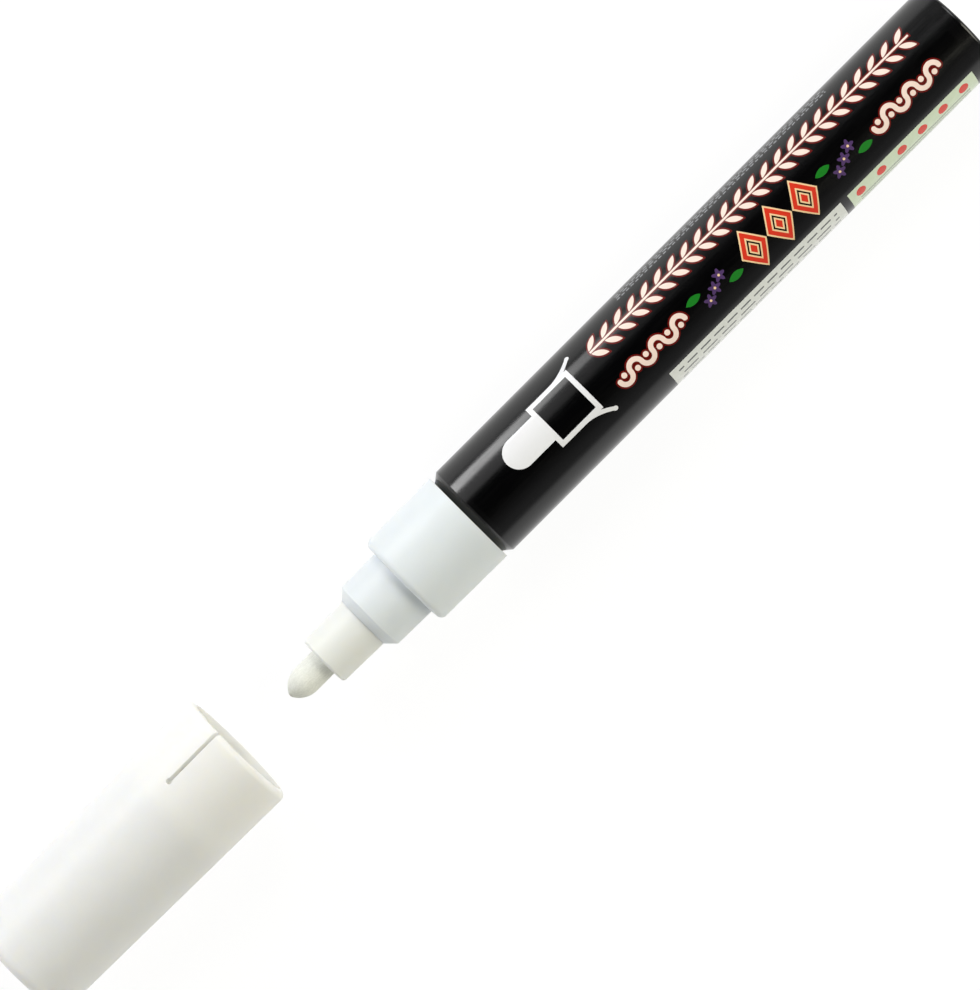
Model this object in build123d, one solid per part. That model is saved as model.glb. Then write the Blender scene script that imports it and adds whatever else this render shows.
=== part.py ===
from build123d import *
import os
from math import cos, hypot, pi, sin, sqrt

# A liquid chalk marker lying on its side, with its cap pulled off and set in line with the nib.
# Millimetres, +Z up. The axis runs along X, with the nib towards -X and the tail towards +X.
# Places along the axis are measured from the barrel's front edge. At the end every piece moves so
# that the origin is under the middle of the whole, on the surface that the barrel and the cap lie on.

# Fits
SLIP = 0.05  # radial clearance of a piece that is pressed into another
TOUCH = 0.05  # gap between two faces that rest on each other

# Nib
NIB_DIAMETER = 4.4
NIB_EXPOSED = 6.7
NIB_POINT = 3.2  # length of the bullet point
NIB_TIP_ROUND = 0.7
NIB_REAR_BEVEL = 0.4
NIB_TRAVEL = 2.5
NIB_STOP_GAP = 0.5  # left between the nib and the valve seat when the nib is pressed home
NIB_CLEARANCE = 0.1

# Nib holder
NOSE_LENGTH = 7.75
NOSE_WALL = 1.8
NOSE_DRAFT = 0.15  # radius lost from the neck to the front
NOSE_BEVEL = 0.3
HOLDER_STEP = 0.55  # the shoulder that stops the holder inside the neck
CHAMBER_WALL = 1.2
CHAMBER_LENGTH = 7.0
FLUTE_COUNT = 6
FLUTE_WIDTH = 0.7
FLUTE_DEPTH = 0.6
FLUTE_SETBACK = 2.5  # plain bore left at the front of the nose

# Front section
NECK_LENGTH = 7.85
NECK_WALL = 0.95
NECK_DRAFT = 0.1
NECK_BEVEL = 1.35
NECK_LIP = 2.2  # length of the neck's front wall around the nose
COLLAR_LENGTH = 12.8
COLLAR_DRAFT = 0.1
COLLAR_ROUND = 1.0
SPIGOT_LENGTH = 9.0
SPIGOT_WALL = 1.55
BEAD_HEIGHT = 0.15
BEAD_WIDTH = 1.0
BEAD_COUNT = 2

# Barrel, label film and tail plug
BARREL_LENGTH = 95.7
BARREL_WALL = 1.18  # under the film
BARREL_BEVEL_LENGTH = 1.25
BARREL_BEVEL_DEPTH = 1.0
FILM_THICKNESS = 0.12
FILM_FRONT_MARGIN = 2.0
FILM_REAR_MARGIN = 1.8
TAIL_FLANGE = 0.6
TAIL_ROUND = 0.5
TAIL_PLUG_DEPTH = 7.0
TAIL_PLUG_WALL = 1.2

# Valve
SEAT_THICKNESS = 1.4
ROD_DIAMETER = 2.3
SEAT_FLOW_GAP = 0.45  # ink passage round the rod
CASING_BODY = 13.6  # length in front of the casing's flange
CASING_TAIL = 5.0  # length behind the front face of the flange
CASING_WALL = 1.25
CASING_END_WALL = 1.2
CASING_FLANGE = 0.9
FLANGE_CLEARANCE = 0.4
PORT_COUNT = 4
PORT_WIDTH = 2.4
PORT_MARGIN = 0.4  # wall left at each end of a port
HEAD_LENGTH = 2.15
HEAD_BEVEL = 0.5
HEAD_FLOW_GAP = 0.7  # ink passage round the stem's head
SPRING_WIRE = 0.5
SPRING_TURNS = 7
SPRING_SIDE_GAP = 1.1
GUIDE_GAP = 0.3  # from the guide pin to the spring
GUIDE_RUNNING_GAP = 0.08
GUIDE_END_SETBACK = 0.4
GUIDE_BEVEL = 0.3

# Mixing ball
BALL_DIAMETER = 6.0
BALL_REST_GAP = 1.5  # from the tail plug

# Cap
CAP_OFF_GAP = 10.0  # from the nib's tip to the mouth of the cap that has been pulled off
CAP_CLOSED_GAP = 0.3  # from the barrel to the mouth of the cap that is on
CAP_MOUTH_CLEARANCE = 0.55
CAP_WALL = 1.25
CAP_END_WALL = 1.6
CAP_CROWN_SPACE = 4.8  # from the liner's closed end to the cap's
CAP_TAPER = 0.55  # radius lost from the mouth to the closed end
CAP_END_ROUND = 1.7
CAP_FLOOR_BEVEL = 0.5
CAP_RIM_ROUND = 0.9
SLOT_WIDTH = 0.6
SLOT_LENGTH = 9.4
SLOT_END_DIAMETER = 0.9
SLOT_ANGLE = 21.7  # degrees from +Z towards +Y

# Inner cap
STOP_GAP = 0.1  # from the liner to the collar when the cap is on
SKIRT_CLEARANCE = 0.4
SKIRT_WALL = 1.0
RING_WIDTH = 1.4
FUNNEL_GAP = 0.65
CUP_CLEARANCE = 0.25
CUP_WALL = 1.0
CUP_END_GAP = 1.2  # from the nib's tip to the cup's end when the cap is on

# Radii, from the nib outwards
nib_radius = NIB_DIAMETER / 2
nib_bore = nib_radius + NIB_CLEARANCE
nose_radius = nib_bore + NOSE_WALL
nose_hole = nose_radius + SLIP
valve_bore = nose_hole + HOLDER_STEP
insert_radius = valve_bore - SLIP
neck_radius = valve_bore + NECK_WALL
spigot_radius = valve_bore + SPIGOT_WALL
barrel_bore = spigot_radius + SLIP
film_seat = barrel_bore + BARREL_WALL
barrel_radius = film_seat + FILM_THICKNESS
cap_bore = barrel_radius + CAP_MOUTH_CLEARANCE
cap_radius = cap_bore + CAP_WALL
casing_bore = insert_radius - CASING_WALL
head_radius = casing_bore - HEAD_FLOW_GAP
spring_radius = casing_bore - SPRING_SIDE_GAP - SPRING_WIRE / 2
guide_radius = spring_radius - SPRING_WIRE / 2 - GUIDE_GAP
rod_radius = ROD_DIAMETER / 2
ball_radius = BALL_DIAMETER / 2

# Places along the axis
collar_front = -COLLAR_LENGTH
neck_front = collar_front - NECK_LENGTH
nose_front = neck_front - NOSE_LENGTH
nib_tip = nose_front - NIB_EXPOSED
holder_shoulder = neck_front + NECK_LIP
casing_front = SPIGOT_LENGTH - CASING_BODY
seat_front = casing_front - SEAT_THICKNESS
nib_rear = seat_front - NIB_TRAVEL - NIB_STOP_GAP
casing_end = SPIGOT_LENGTH + CASING_TAIL
casing_floor = casing_end - CASING_END_WALL
head_back = casing_front + TOUCH + HEAD_LENGTH
film_front = FILM_FRONT_MARGIN
film_rear = BARREL_LENGTH - FILM_REAR_MARGIN
tail_end = BARREL_LENGTH + TAIL_FLANGE
cap_mouth = nib_tip - CAP_OFF_GAP

# Depths into the cap from its mouth, of what it covers when it is on
collar_depth = COLLAR_LENGTH - CAP_CLOSED_GAP
neck_depth = collar_depth + NECK_LENGTH
tip_depth = neck_depth + NOSE_LENGTH + NIB_EXPOSED
cup_depth = tip_depth + CUP_END_GAP
liner_end_depth = cup_depth + CUP_WALL
cap_floor_depth = liner_end_depth + CAP_CROWN_SPACE
cap_length = cap_floor_depth + CAP_END_WALL
cap_end = cap_mouth - cap_length

# Moves to the frame, where the barrel and the wider cap each lie on the surface at height 0
whole_middle = (tail_end + cap_end) / 2
LAY_MARKER = Pos(-whole_middle, 0, barrel_radius)
LAY_CAP = Pos(-whole_middle, 0, cap_radius)


def turned(outline, rounds=(), bevels=()):
    """The solid that (x, radius) points make when turned about the axis, with some corners worked."""
    face = make_face(Polyline(*outline, close=True))
    for corner, radius in rounds:
        face = fillet(face.vertices().sort_by_distance(corner)[0], radius)
    for corner, length in bevels:
        face = chamfer(face.vertices().sort_by_distance(corner)[0], length)
    return revolve(face, Axis.X)


def around_axis(shape, count):
    """Copies of a shape, evenly spaced round the axis."""
    return [Rot(X=360 * turn / count) * shape for turn in range(count)]


def barrel():
    return turned(
        [
            (0, barrel_bore),
            (0, barrel_radius - BARREL_BEVEL_DEPTH),
            (BARREL_BEVEL_LENGTH, barrel_radius),
            (film_front, barrel_radius),
            (film_front, film_seat),
            (film_rear, film_seat),
            (film_rear, barrel_radius),
            (BARREL_LENGTH, barrel_radius),
            (BARREL_LENGTH, barrel_bore),
        ]
    )


def label_film():
    return turned(
        [
            (film_front, film_seat),
            (film_front, barrel_radius),
            (film_rear, barrel_radius),
            (film_rear, film_seat),
        ]
    )


def grip_beads(start, direction, radius):
    """Outline points of the beads that grip the barrel, from the start along the axis."""
    points = []
    for bead in range(BEAD_COUNT):
        rise = start + direction * BEAD_WIDTH * (2 * bead + 1)
        points += [
            (rise, radius - BEAD_HEIGHT),
            (rise + direction * BEAD_WIDTH / 2, radius),
            (rise + direction * BEAD_WIDTH, radius - BEAD_HEIGHT),
        ]
    return points


def tail_plug():
    inner_end = BARREL_LENGTH - TAIL_PLUG_DEPTH
    plug_radius = barrel_bore - SLIP
    plug_bore = plug_radius - TAIL_PLUG_WALL
    outer_corner = (tail_end, barrel_radius)
    return turned(
        [
            (tail_end, 0),
            outer_corner,
            (BARREL_LENGTH, barrel_radius),
            (BARREL_LENGTH, plug_radius - BEAD_HEIGHT),
            *grip_beads(BARREL_LENGTH, -1, plug_radius),
            (inner_end, plug_radius - BEAD_HEIGHT),
            (inner_end, plug_bore),
            (tail_end - TAIL_PLUG_WALL, plug_bore),
            (tail_end - TAIL_PLUG_WALL, 0),
        ],
        rounds=[(outer_corner, TAIL_ROUND)],
    )


def front_section():
    neck_front_radius = neck_radius - NECK_DRAFT
    collar_corner = (collar_front, barrel_radius - COLLAR_DRAFT)
    return turned(
        [
            (neck_front, nose_hole),
            (neck_front, neck_front_radius - NECK_BEVEL),
            (neck_front + NECK_BEVEL, neck_front_radius),
            (collar_front, neck_radius),
            collar_corner,
            (0, barrel_radius),
            (0, spigot_radius - BEAD_HEIGHT),
            *grip_beads(0, 1, spigot_radius),
            (SPIGOT_LENGTH, spigot_radius - BEAD_HEIGHT),
            (SPIGOT_LENGTH, valve_bore),
            (holder_shoulder, valve_bore),
            (holder_shoulder, nose_hole),
        ],
        rounds=[(collar_corner, COLLAR_ROUND)],
    )


def nib_holder():
    nose_corner = (nose_front, nose_radius - NOSE_DRAFT)
    chamber_front = seat_front - CHAMBER_LENGTH
    chamber_radius = insert_radius - CHAMBER_WALL
    body = turned(
        [
            (nose_front, nib_bore),
            nose_corner,
            (neck_front, nose_radius),
            (holder_shoulder, nose_radius),
            (holder_shoulder, insert_radius),
            (seat_front, insert_radius),
            (seat_front, chamber_radius),
            (chamber_front, chamber_radius),
            (chamber_front, nib_bore),
        ],
        bevels=[(nose_corner, NOSE_BEVEL)],
    )
    flute_front = nose_front + FLUTE_SETBACK
    flute_length = chamber_front - flute_front
    flute_height = nib_bore + FLUTE_DEPTH
    flute = Pos(flute_front + flute_length / 2, 0, flute_height / 2) * Box(
        flute_length, FLUTE_WIDTH, flute_height
    )
    return body - around_axis(flute, FLUTE_COUNT)


def nib():
    """A rod with a bullet point: a long arc off the rod's side that runs into a small round tip."""
    shoulder = nib_tip + NIB_POINT
    tip_centre = nib_tip + NIB_TIP_ROUND
    reach = shoulder - tip_centre
    thinner = nib_radius - NIB_TIP_ROUND
    side_radius = (reach**2 + nib_radius**2 - NIB_TIP_ROUND**2) / (2 * thinner)
    share = NIB_TIP_ROUND / hypot(reach, side_radius - nib_radius)
    meeting = (tip_centre - reach * share, (side_radius - nib_radius) * share)
    side = TangentArc((shoulder, nib_radius), meeting, tangent=(-1, 0))
    tip = TangentArc(meeting, (nib_tip, 0), tangent=side % 1)
    rod = Polyline(
        (nib_tip, 0),
        (nib_rear, 0),
        (nib_rear, nib_radius - NIB_REAR_BEVEL),
        (nib_rear - NIB_REAR_BEVEL, nib_radius),
        (shoulder, nib_radius),
    )
    return revolve(make_face(side + tip + rod), Axis.X)


def valve_seat():
    seat_hole = rod_radius + SEAT_FLOW_GAP
    return turned(
        [
            (seat_front, seat_hole),
            (seat_front, insert_radius),
            (casing_front, insert_radius),
            (casing_front, seat_hole),
        ]
    )


def valve_stem():
    rod_front = nib_rear + TOUCH
    head_front = casing_front + TOUCH
    guide_end = casing_end - GUIDE_END_SETBACK
    return turned(
        [
            (rod_front, 0),
            (rod_front, rod_radius),
            (head_front, rod_radius),
            (head_front, head_radius),
            (head_back - HEAD_BEVEL, head_radius),
            (head_back, head_radius - HEAD_BEVEL),
            (head_back, guide_radius),
            (guide_end - GUIDE_BEVEL, guide_radius),
            (guide_end, guide_radius - GUIDE_BEVEL),
            (guide_end, 0),
        ]
    )


def valve_casing():
    flange_radius = barrel_bore - FLANGE_CLEARANCE
    flange_back = SPIGOT_LENGTH + CASING_FLANGE
    guide_hole = guide_radius + GUIDE_RUNNING_GAP
    body = turned(
        [
            (casing_front, casing_bore),
            (casing_front, insert_radius),
            (SPIGOT_LENGTH, insert_radius),
            (SPIGOT_LENGTH, flange_radius),
            (flange_back, flange_radius),
            (flange_back, insert_radius),
            (casing_end, insert_radius),
            (casing_end, guide_hole),
            (casing_floor, guide_hole),
            (casing_floor, casing_bore),
        ]
    )
    port_front = flange_back + PORT_MARGIN
    port_length = casing_floor - PORT_MARGIN - port_front
    port_height = insert_radius + CASING_WALL
    port = Pos(port_front + port_length / 2, 0, port_height / 2) * Box(
        port_length, PORT_WIDTH, port_height
    )
    return body - around_axis(port, PORT_COUNT)


def biarc(start, start_way, end, end_way):
    """Two arcs that meet smoothly, from one point and direction to another."""
    chord = end - start
    ways = start_way + end_way
    square = ways.dot(ways) - 4
    half = chord.dot(ways)
    reach = (half - sqrt(half**2 - square * chord.dot(chord))) / square
    first_corner = start + start_way * reach
    last_corner = end - end_way * reach
    middle = (first_corner + last_corner) / 2
    middle_way = (last_corner - first_corner).normalized()
    return [
        Edge.make_tangent_arc(start, start_way, middle),
        Edge.make_tangent_arc(middle, middle_way, end),
    ]


def valve_spring():
    """A coil from the stem's head to the casing's end wall, swept in quarter turns."""
    first = head_back + TOUCH + SPRING_WIRE / 2
    last = casing_floor - TOUCH - SPRING_WIRE / 2
    pitch = (last - first) / SPRING_TURNS

    def point(turns):
        angle = 2 * pi * turns
        return Vector(first + pitch * turns, spring_radius * cos(angle), spring_radius * sin(angle))

    def way(turns):
        angle = 2 * pi * turns
        round_axis = 2 * pi * spring_radius
        return Vector(pitch, -round_axis * sin(angle), round_axis * cos(angle)).normalized()

    edges = []
    for quarter in range(4 * SPRING_TURNS):
        begin, finish = quarter / 4, (quarter + 1) / 4
        edges += biarc(point(begin), way(begin), point(finish), way(finish))
    path = Wire(edges)
    section = Plane(origin=path @ 0, z_dir=path % 0) * Circle(SPRING_WIRE / 2)
    coil = sweep(section, path)
    steps = 48
    near_turn = [(point(0) - point(1 + step / steps)).length for step in range(-steps // 4, steps // 4)]
    print("valve_spring: least gap between turns", round(min(near_turn) - SPRING_WIRE, 3), "mm")
    print("valve_spring: volume", round(coil.volume, 3), "mm3, section times length",
          round(pi * SPRING_WIRE**2 / 4 * path.length, 3), "mm3")
    return coil


def mixing_ball():
    place = BARREL_LENGTH - TAIL_PLUG_DEPTH - BALL_REST_GAP - ball_radius
    return Pos(place, 0, -(barrel_bore - TOUCH - ball_radius)) * Sphere(ball_radius)


def bore_at(depth):
    """Radius of the cap's bore at a depth from its mouth."""
    return cap_bore - CAP_TAPER * depth / cap_length


def slot_cutter():
    """A slot in from the cap's mouth with a round blind end, which lets the mouth spring open."""
    inside = bore_at(cap_length) - CAP_WALL
    height = cap_radius - inside + CAP_WALL
    lift = inside + height / 2
    slot = Pos(cap_mouth - SLOT_LENGTH / 2, 0, lift) * Box(SLOT_LENGTH, SLOT_WIDTH, height)
    end = Pos(cap_mouth - SLOT_LENGTH, 0, lift) * Cylinder(SLOT_END_DIAMETER / 2, height)
    return Rot(X=-SLOT_ANGLE) * (slot + end)


def cap_shell():
    floor = cap_mouth - cap_floor_depth
    rim = (cap_mouth, cap_radius)
    outer_corner = (cap_end, bore_at(cap_length) + CAP_WALL)
    inner_corner = (floor, bore_at(cap_floor_depth))
    cup = turned(
        [
            (cap_end, 0),
            outer_corner,
            rim,
            (cap_mouth, cap_bore),
            inner_corner,
            (floor, 0),
        ],
        rounds=[(outer_corner, CAP_END_ROUND), (rim, CAP_RIM_ROUND)],
        bevels=[(inner_corner, CAP_FLOOR_BEVEL)],
    )
    return cup - slot_cutter()


def inner_cap():
    """The liner: a ring that stops on the collar, a skirt for the neck and a cup for the nose."""
    stop_depth = collar_depth + STOP_GAP
    skirt_bore = neck_radius + SKIRT_CLEARANCE
    skirt_radius = skirt_bore + SKIRT_WALL
    cup_bore = nose_radius + CUP_CLEARANCE
    cup_radius = cup_bore + CUP_WALL
    funnel_end = neck_depth + FUNNEL_GAP
    funnel_start = funnel_end - (skirt_bore - cup_bore)
    front_ring_end = stop_depth + RING_WIDTH
    rear_ring_end = funnel_end + CUP_WALL
    rear_ring_start = rear_ring_end - RING_WIDTH
    outline = [
        (stop_depth, skirt_bore),
        (stop_depth, bore_at(stop_depth) - SLIP),
        (front_ring_end, bore_at(front_ring_end) - SLIP),
        (front_ring_end, skirt_radius),
        (rear_ring_start, skirt_radius),
        (rear_ring_start, bore_at(rear_ring_start) - SLIP),
        (rear_ring_end, bore_at(rear_ring_end) - SLIP),
        (rear_ring_end, cup_radius),
        (liner_end_depth, cup_radius),
        (liner_end_depth, 0),
        (cup_depth, 0),
        (cup_depth, cup_bore),
        (funnel_end, cup_bore),
        (funnel_start, skirt_bore),
    ]
    return turned([(cap_mouth - depth, radius) for depth, radius in outline])


MARKER_PIECES = (
    barrel,
    label_film,
    tail_plug,
    front_section,
    nib_holder,
    nib,
    valve_seat,
    valve_stem,
    valve_spring,
    valve_casing,
    mixing_ball,
)
CAP_PIECES = (cap_shell, inner_cap)

os.makedirs("parts", exist_ok=True)
for place, pieces in ((LAY_MARKER, MARKER_PIECES), (LAY_CAP, CAP_PIECES)):
    for piece in pieces:
        export_step(place * piece(), f"parts/{piece.__name__}.step")
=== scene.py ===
"""The looks of a liquid chalk marker that lies beside its pulled-off cap.

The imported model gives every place. The printed sleeve, the felt nib and the valve's coil are modelled
here, and the other pieces keep their solids and get a finish.
"""

import logging
import math
from collections.abc import Callable
from dataclasses import dataclass
from enum import Enum

import bpy
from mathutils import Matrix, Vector


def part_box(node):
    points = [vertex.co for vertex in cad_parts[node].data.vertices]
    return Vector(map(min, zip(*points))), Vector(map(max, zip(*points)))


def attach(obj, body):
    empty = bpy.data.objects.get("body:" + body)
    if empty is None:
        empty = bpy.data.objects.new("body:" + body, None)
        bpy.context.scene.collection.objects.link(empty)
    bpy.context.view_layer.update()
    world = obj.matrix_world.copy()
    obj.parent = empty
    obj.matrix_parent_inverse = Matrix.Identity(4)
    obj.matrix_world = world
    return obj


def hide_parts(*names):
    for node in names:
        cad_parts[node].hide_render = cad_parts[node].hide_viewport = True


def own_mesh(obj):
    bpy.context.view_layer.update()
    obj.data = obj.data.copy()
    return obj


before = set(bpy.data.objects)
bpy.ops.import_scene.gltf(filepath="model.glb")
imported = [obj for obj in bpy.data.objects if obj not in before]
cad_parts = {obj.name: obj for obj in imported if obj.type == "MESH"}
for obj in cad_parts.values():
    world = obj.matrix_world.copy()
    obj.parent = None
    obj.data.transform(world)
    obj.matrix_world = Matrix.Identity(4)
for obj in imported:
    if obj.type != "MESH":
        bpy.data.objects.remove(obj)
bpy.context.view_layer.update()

MM = 0.001
MERGE_GAP = 0.002 * MM  # points nearer than this become one
CREASE = math.radians(35)  # faces that meet at a sharper angle keep their edge
FACING = 0.9  # share of its normal by which a face counts as facing one way
log = logging.getLogger("chalk_marker")

Socket = bpy.types.NodeSocket
Level = float | Socket
Colour = tuple[float, float, float, float]
ScreenColour = tuple[int, int, int]


def screen_colour(red: int, green: int, blue: int) -> Colour:
    """Turns a colour as a screen shows it into the linear one that a shader takes.

    Args:
        red: Red, from 0 to 255.
        green: Green, from 0 to 255.
        blue: Blue, from 0 to 255.

    Returns:
        The linear colour, opaque.
    """
    parts = [value / 255 for value in (red, green, blue)]
    linear = [part / 12.92 if part <= 0.04045 else ((part + 0.055) / 1.055) ** 2.4 for part in parts]
    return (*linear, 1.0)


class Ink(Enum):
    """Inks of the printed sleeve, as a screen shows them."""

    BLACK = (2, 2, 3)
    WHITE = (238, 239, 243)
    CREAM = (252, 230, 219)
    GOLD = (248, 214, 166)
    RED = (222, 58, 38)
    MAROON = (104, 16, 12)
    VIOLET = (84, 60, 108)
    LEAF = (30, 128, 38)
    PALE_GREEN = (213, 227, 203)
    PALE_GREY = (226, 229, 227)
    SLATE = (88, 92, 94)
    SILVER = (132, 134, 138)

    @property
    def shade(self) -> Colour:
        """The ink's linear colour."""
        return screen_colour(*self.value)


class Bench:
    """A material under work: its nodes are added and wired here.

    Attributes:
        MIX_COLOURS: Places of the two colours among the inputs of a mix.
        MIX_RESULT: Place of the mixed colour among its outputs.
        MIDDLE: Range of a cloudy pattern where most of it lies.
    """

    MIX_COLOURS = (6, 7)
    MIX_RESULT = 2
    MIDDLE = (0.3, 0.7)

    def __init__(self, name: str) -> None:
        """Starts a material with one surface shader.

        Args:
            name: The material's name.
        """
        self.material = bpy.data.materials.new(name)
        self.material.use_nodes = True
        self.tree = self.material.node_tree
        self.shader = self.tree.nodes["Principled BSDF"]

    def add(self, kind: str, **settings: object) -> bpy.types.Node:
        """Adds a node.

        Args:
            kind: The node's type.
            **settings: Values for the node's own properties.

        Returns:
            The new node.
        """
        node = self.tree.nodes.new(kind)
        for name, value in settings.items():
            setattr(node, name, value)
        return node

    def feed(self, socket: Socket, level: Level | Colour) -> None:
        """Gives an input a value or a link.

        Args:
            socket: The input.
            level: A number, a colour or another node's output.
        """
        if isinstance(level, Socket):
            self.tree.links.new(level, socket)
        else:
            socket.default_value = level

    def set(self, **levels: Level | Colour) -> None:
        """Sets inputs of the surface shader, named with underscores for spaces."""
        for name, level in levels.items():
            self.feed(self.shader.inputs[name.replace("_", " ")], level)

    def calc(self, operation: str, *levels: Level) -> Socket:
        """Adds a sum on numbers.

        Args:
            operation: The sum's name.
            *levels: What it works on.

        Returns:
            The result.
        """
        node = self.add("ShaderNodeMath", operation=operation)
        for socket, level in zip(node.inputs, levels):
            self.feed(socket, level)
        return node.outputs[0]

    def blend(self, share: Level, under: Level | Colour, over: Level | Colour) -> Socket:
        """Mixes two colours.

        Args:
            share: How much of the second one shows, from 0 to 1.
            under: The first colour.
            over: The second colour.

        Returns:
            The mixed colour.
        """
        node = self.add("ShaderNodeMix", data_type="RGBA")
        self.feed(node.inputs["Factor"], share)
        for place, colour in zip(self.MIX_COLOURS, (under, over)):
            self.feed(node.inputs[place], colour)
        return node.outputs[self.MIX_RESULT]

    def place(self) -> Socket:
        """The point on the piece, in metres."""
        return self.add("ShaderNodeTexCoord").outputs["Object"]

    def noise(self, size: float, detail: float = 2.0, stretch: float = 1.0) -> Socket:
        """Adds a cloudy pattern.

        Args:
            size: How large a cloud is, in metres.
            detail: How many finer layers there are.
            stretch: How many times longer a cloud is along the marker.

        Returns:
            The pattern, from 0 to 1.
        """
        mapping = self.add("ShaderNodeMapping")
        self.feed(mapping.inputs["Vector"], self.place())
        mapping.inputs["Scale"].default_value = (1 / stretch, 1, 1)
        node = self.add("ShaderNodeTexNoise")
        self.feed(node.inputs["Vector"], mapping.outputs["Vector"])
        node.inputs["Scale"].default_value = 1 / size
        node.inputs["Detail"].default_value = detail
        return node.outputs["Fac"]

    def spread(self, level: Socket, low: float, high: float) -> Socket:
        """Stretches a pattern's middle range over new limits.

        Args:
            level: The pattern.
            low: The result where the pattern is low.
            high: The result where it is high.

        Returns:
            The stretched pattern.
        """
        node = self.add("ShaderNodeMapRange")
        self.feed(node.inputs["Value"], level)
        names = ("From Min", "From Max", "To Min", "To Max")
        for name, value in zip(names, (*self.MIDDLE, low, high)):
            node.inputs[name].default_value = value
        return node.outputs["Result"]

    def bump(self, height: Socket, depth: float) -> None:
        """Gives the surface a fine relief.

        Args:
            height: The relief's pattern, from 0 to 1.
            depth: How deep the relief is, in metres.
        """
        node = self.add("ShaderNodeBump")
        node.inputs["Distance"].default_value = depth
        self.feed(node.inputs["Height"], height)
        self.set(Normal=node.outputs["Normal"])


@dataclass(frozen=True)
class MouldedPlastic:
    """Satin moulded plastic that lets some light in.

    Attributes:
        name: The material's name.
        colour: Its colour, as a screen shows it.
        roughness: How matt it is.
        glow: How much light goes in.
        depth: How far it goes in, in metres.
        grain: Size of the mould's texture, in metres.
        relief: How deep that texture is, in metres.
        cloud: Size of the clouds in the colour, in metres.
        fade: How much darker they are.
        flow: Width of the flow marks in the gloss, in metres.
        swing: How much they change the roughness.
    """

    name: str
    colour: ScreenColour
    roughness: float = 0.42
    glow: float = 0.5
    depth: float = 1.2 * MM
    grain: float = 0.35 * MM
    relief: float = 0.004 * MM
    cloud: float = 9 * MM
    fade: int = 3
    flow: float = 1.2 * MM
    swing: float = 0.05

    def make(self) -> bpy.types.Material:
        """Makes the material: faint clouds in the colour, flow marks in the gloss and a fine grain.

        Returns:
            The material.
        """
        bench = Bench(self.name)
        pale = screen_colour(*self.colour)
        dull = screen_colour(*(value - self.fade for value in self.colour))
        clouds = bench.noise(self.cloud, detail=3.0)
        flow = bench.noise(self.flow, stretch=6.0)
        bench.set(
            Base_Color=bench.blend(bench.spread(clouds, 0.0, 1.0), pale, dull),
            Roughness=bench.spread(flow, self.roughness - self.swing, self.roughness + self.swing),
            Specular_IOR_Level=0.35,
            Subsurface_Weight=self.glow,
            Subsurface_Radius=(1.0, 0.92, 0.75),
            Subsurface_Scale=self.depth,
        )
        bench.bump(bench.noise(self.grain), self.relief)
        return bench.material


@dataclass(frozen=True)
class GlossBlack:
    """Polished black plastic with hairline scratches along it.

    Attributes:
        name: The material's name.
        roughness: How matt it is between the scratches.
        swing: How much the scratches add to that.
        scratch: Width of a scratch, in metres.
        relief: How deep it is, in metres.
        haze: Size of the hazy patches, in metres.
        haze_colour: Their colour, as a screen shows it.
    """

    name: str
    roughness: float = 0.16
    swing: float = 0.06
    scratch: float = 0.12 * MM
    relief: float = 0.0015 * MM
    haze: float = 6 * MM
    haze_colour: ScreenColour = (13, 13, 14)

    def make(self) -> bpy.types.Material:
        """Makes the material: scratches in the gloss over hazy patches.

        Returns:
            The material.
        """
        bench = Bench(self.name)
        scratches = bench.noise(self.scratch, detail=3.0, stretch=60.0)
        haze = bench.noise(self.haze)
        bench.set(
            Base_Color=bench.blend(haze, Ink.BLACK.shade, screen_colour(*self.haze_colour)),
            Roughness=bench.spread(scratches, self.roughness, self.roughness + self.swing),
            Specular_IOR_Level=0.5,
        )
        bench.bump(scratches, self.relief)
        return bench.material


@dataclass(frozen=True)
class BondedFibre:
    """Felt of bonded fibres that lie along the nib.

    Attributes:
        name: The material's name.
        colour: Its colour, as a screen shows it.
        fade: How much darker the pores and the hollows between the streaks are painted, as painted shade.
        streak: Width of a streak, in metres.
        pore: Size of a pore, in metres.
        relief: How deep the pores are, in metres.
    """

    name: str
    colour: ScreenColour
    fade: int = 24
    streak: float = 0.16 * MM
    pore: float = 0.22 * MM
    relief: float = 0.05 * MM

    def make(self) -> bpy.types.Material:
        """Makes the material: long streaks with open pores between them, painted darker where the relief is
        low as painted shade.

        Returns:
            The material.
        """
        bench = Bench(self.name)
        streaks = bench.noise(self.streak, detail=3.0, stretch=9.0)
        pores = bench.noise(self.pore, detail=4.0)
        pale = screen_colour(*self.colour)
        dark = screen_colour(*(value - self.fade for value in self.colour))
        # painted shade: the colour darkens where the relief is low, in the pores and between the streaks
        both = bench.calc("MULTIPLY_ADD", streaks, 0.5, bench.calc("MULTIPLY", pores, 0.5))
        bench.set(
            Base_Color=bench.blend(bench.spread(both, 1.0, 0.0), pale, dark),
            Roughness=bench.spread(pores, 0.95, 0.8),
            Specular_IOR_Level=0.2,
            Sheen_Weight=0.25,
            Sheen_Roughness=0.6,
            Subsurface_Weight=0.15,
            Subsurface_Radius=(1.0, 0.95, 0.8),
            Subsurface_Scale=0.8 * MM,
        )
        bench.bump(both, self.relief)
        return bench.material


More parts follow.
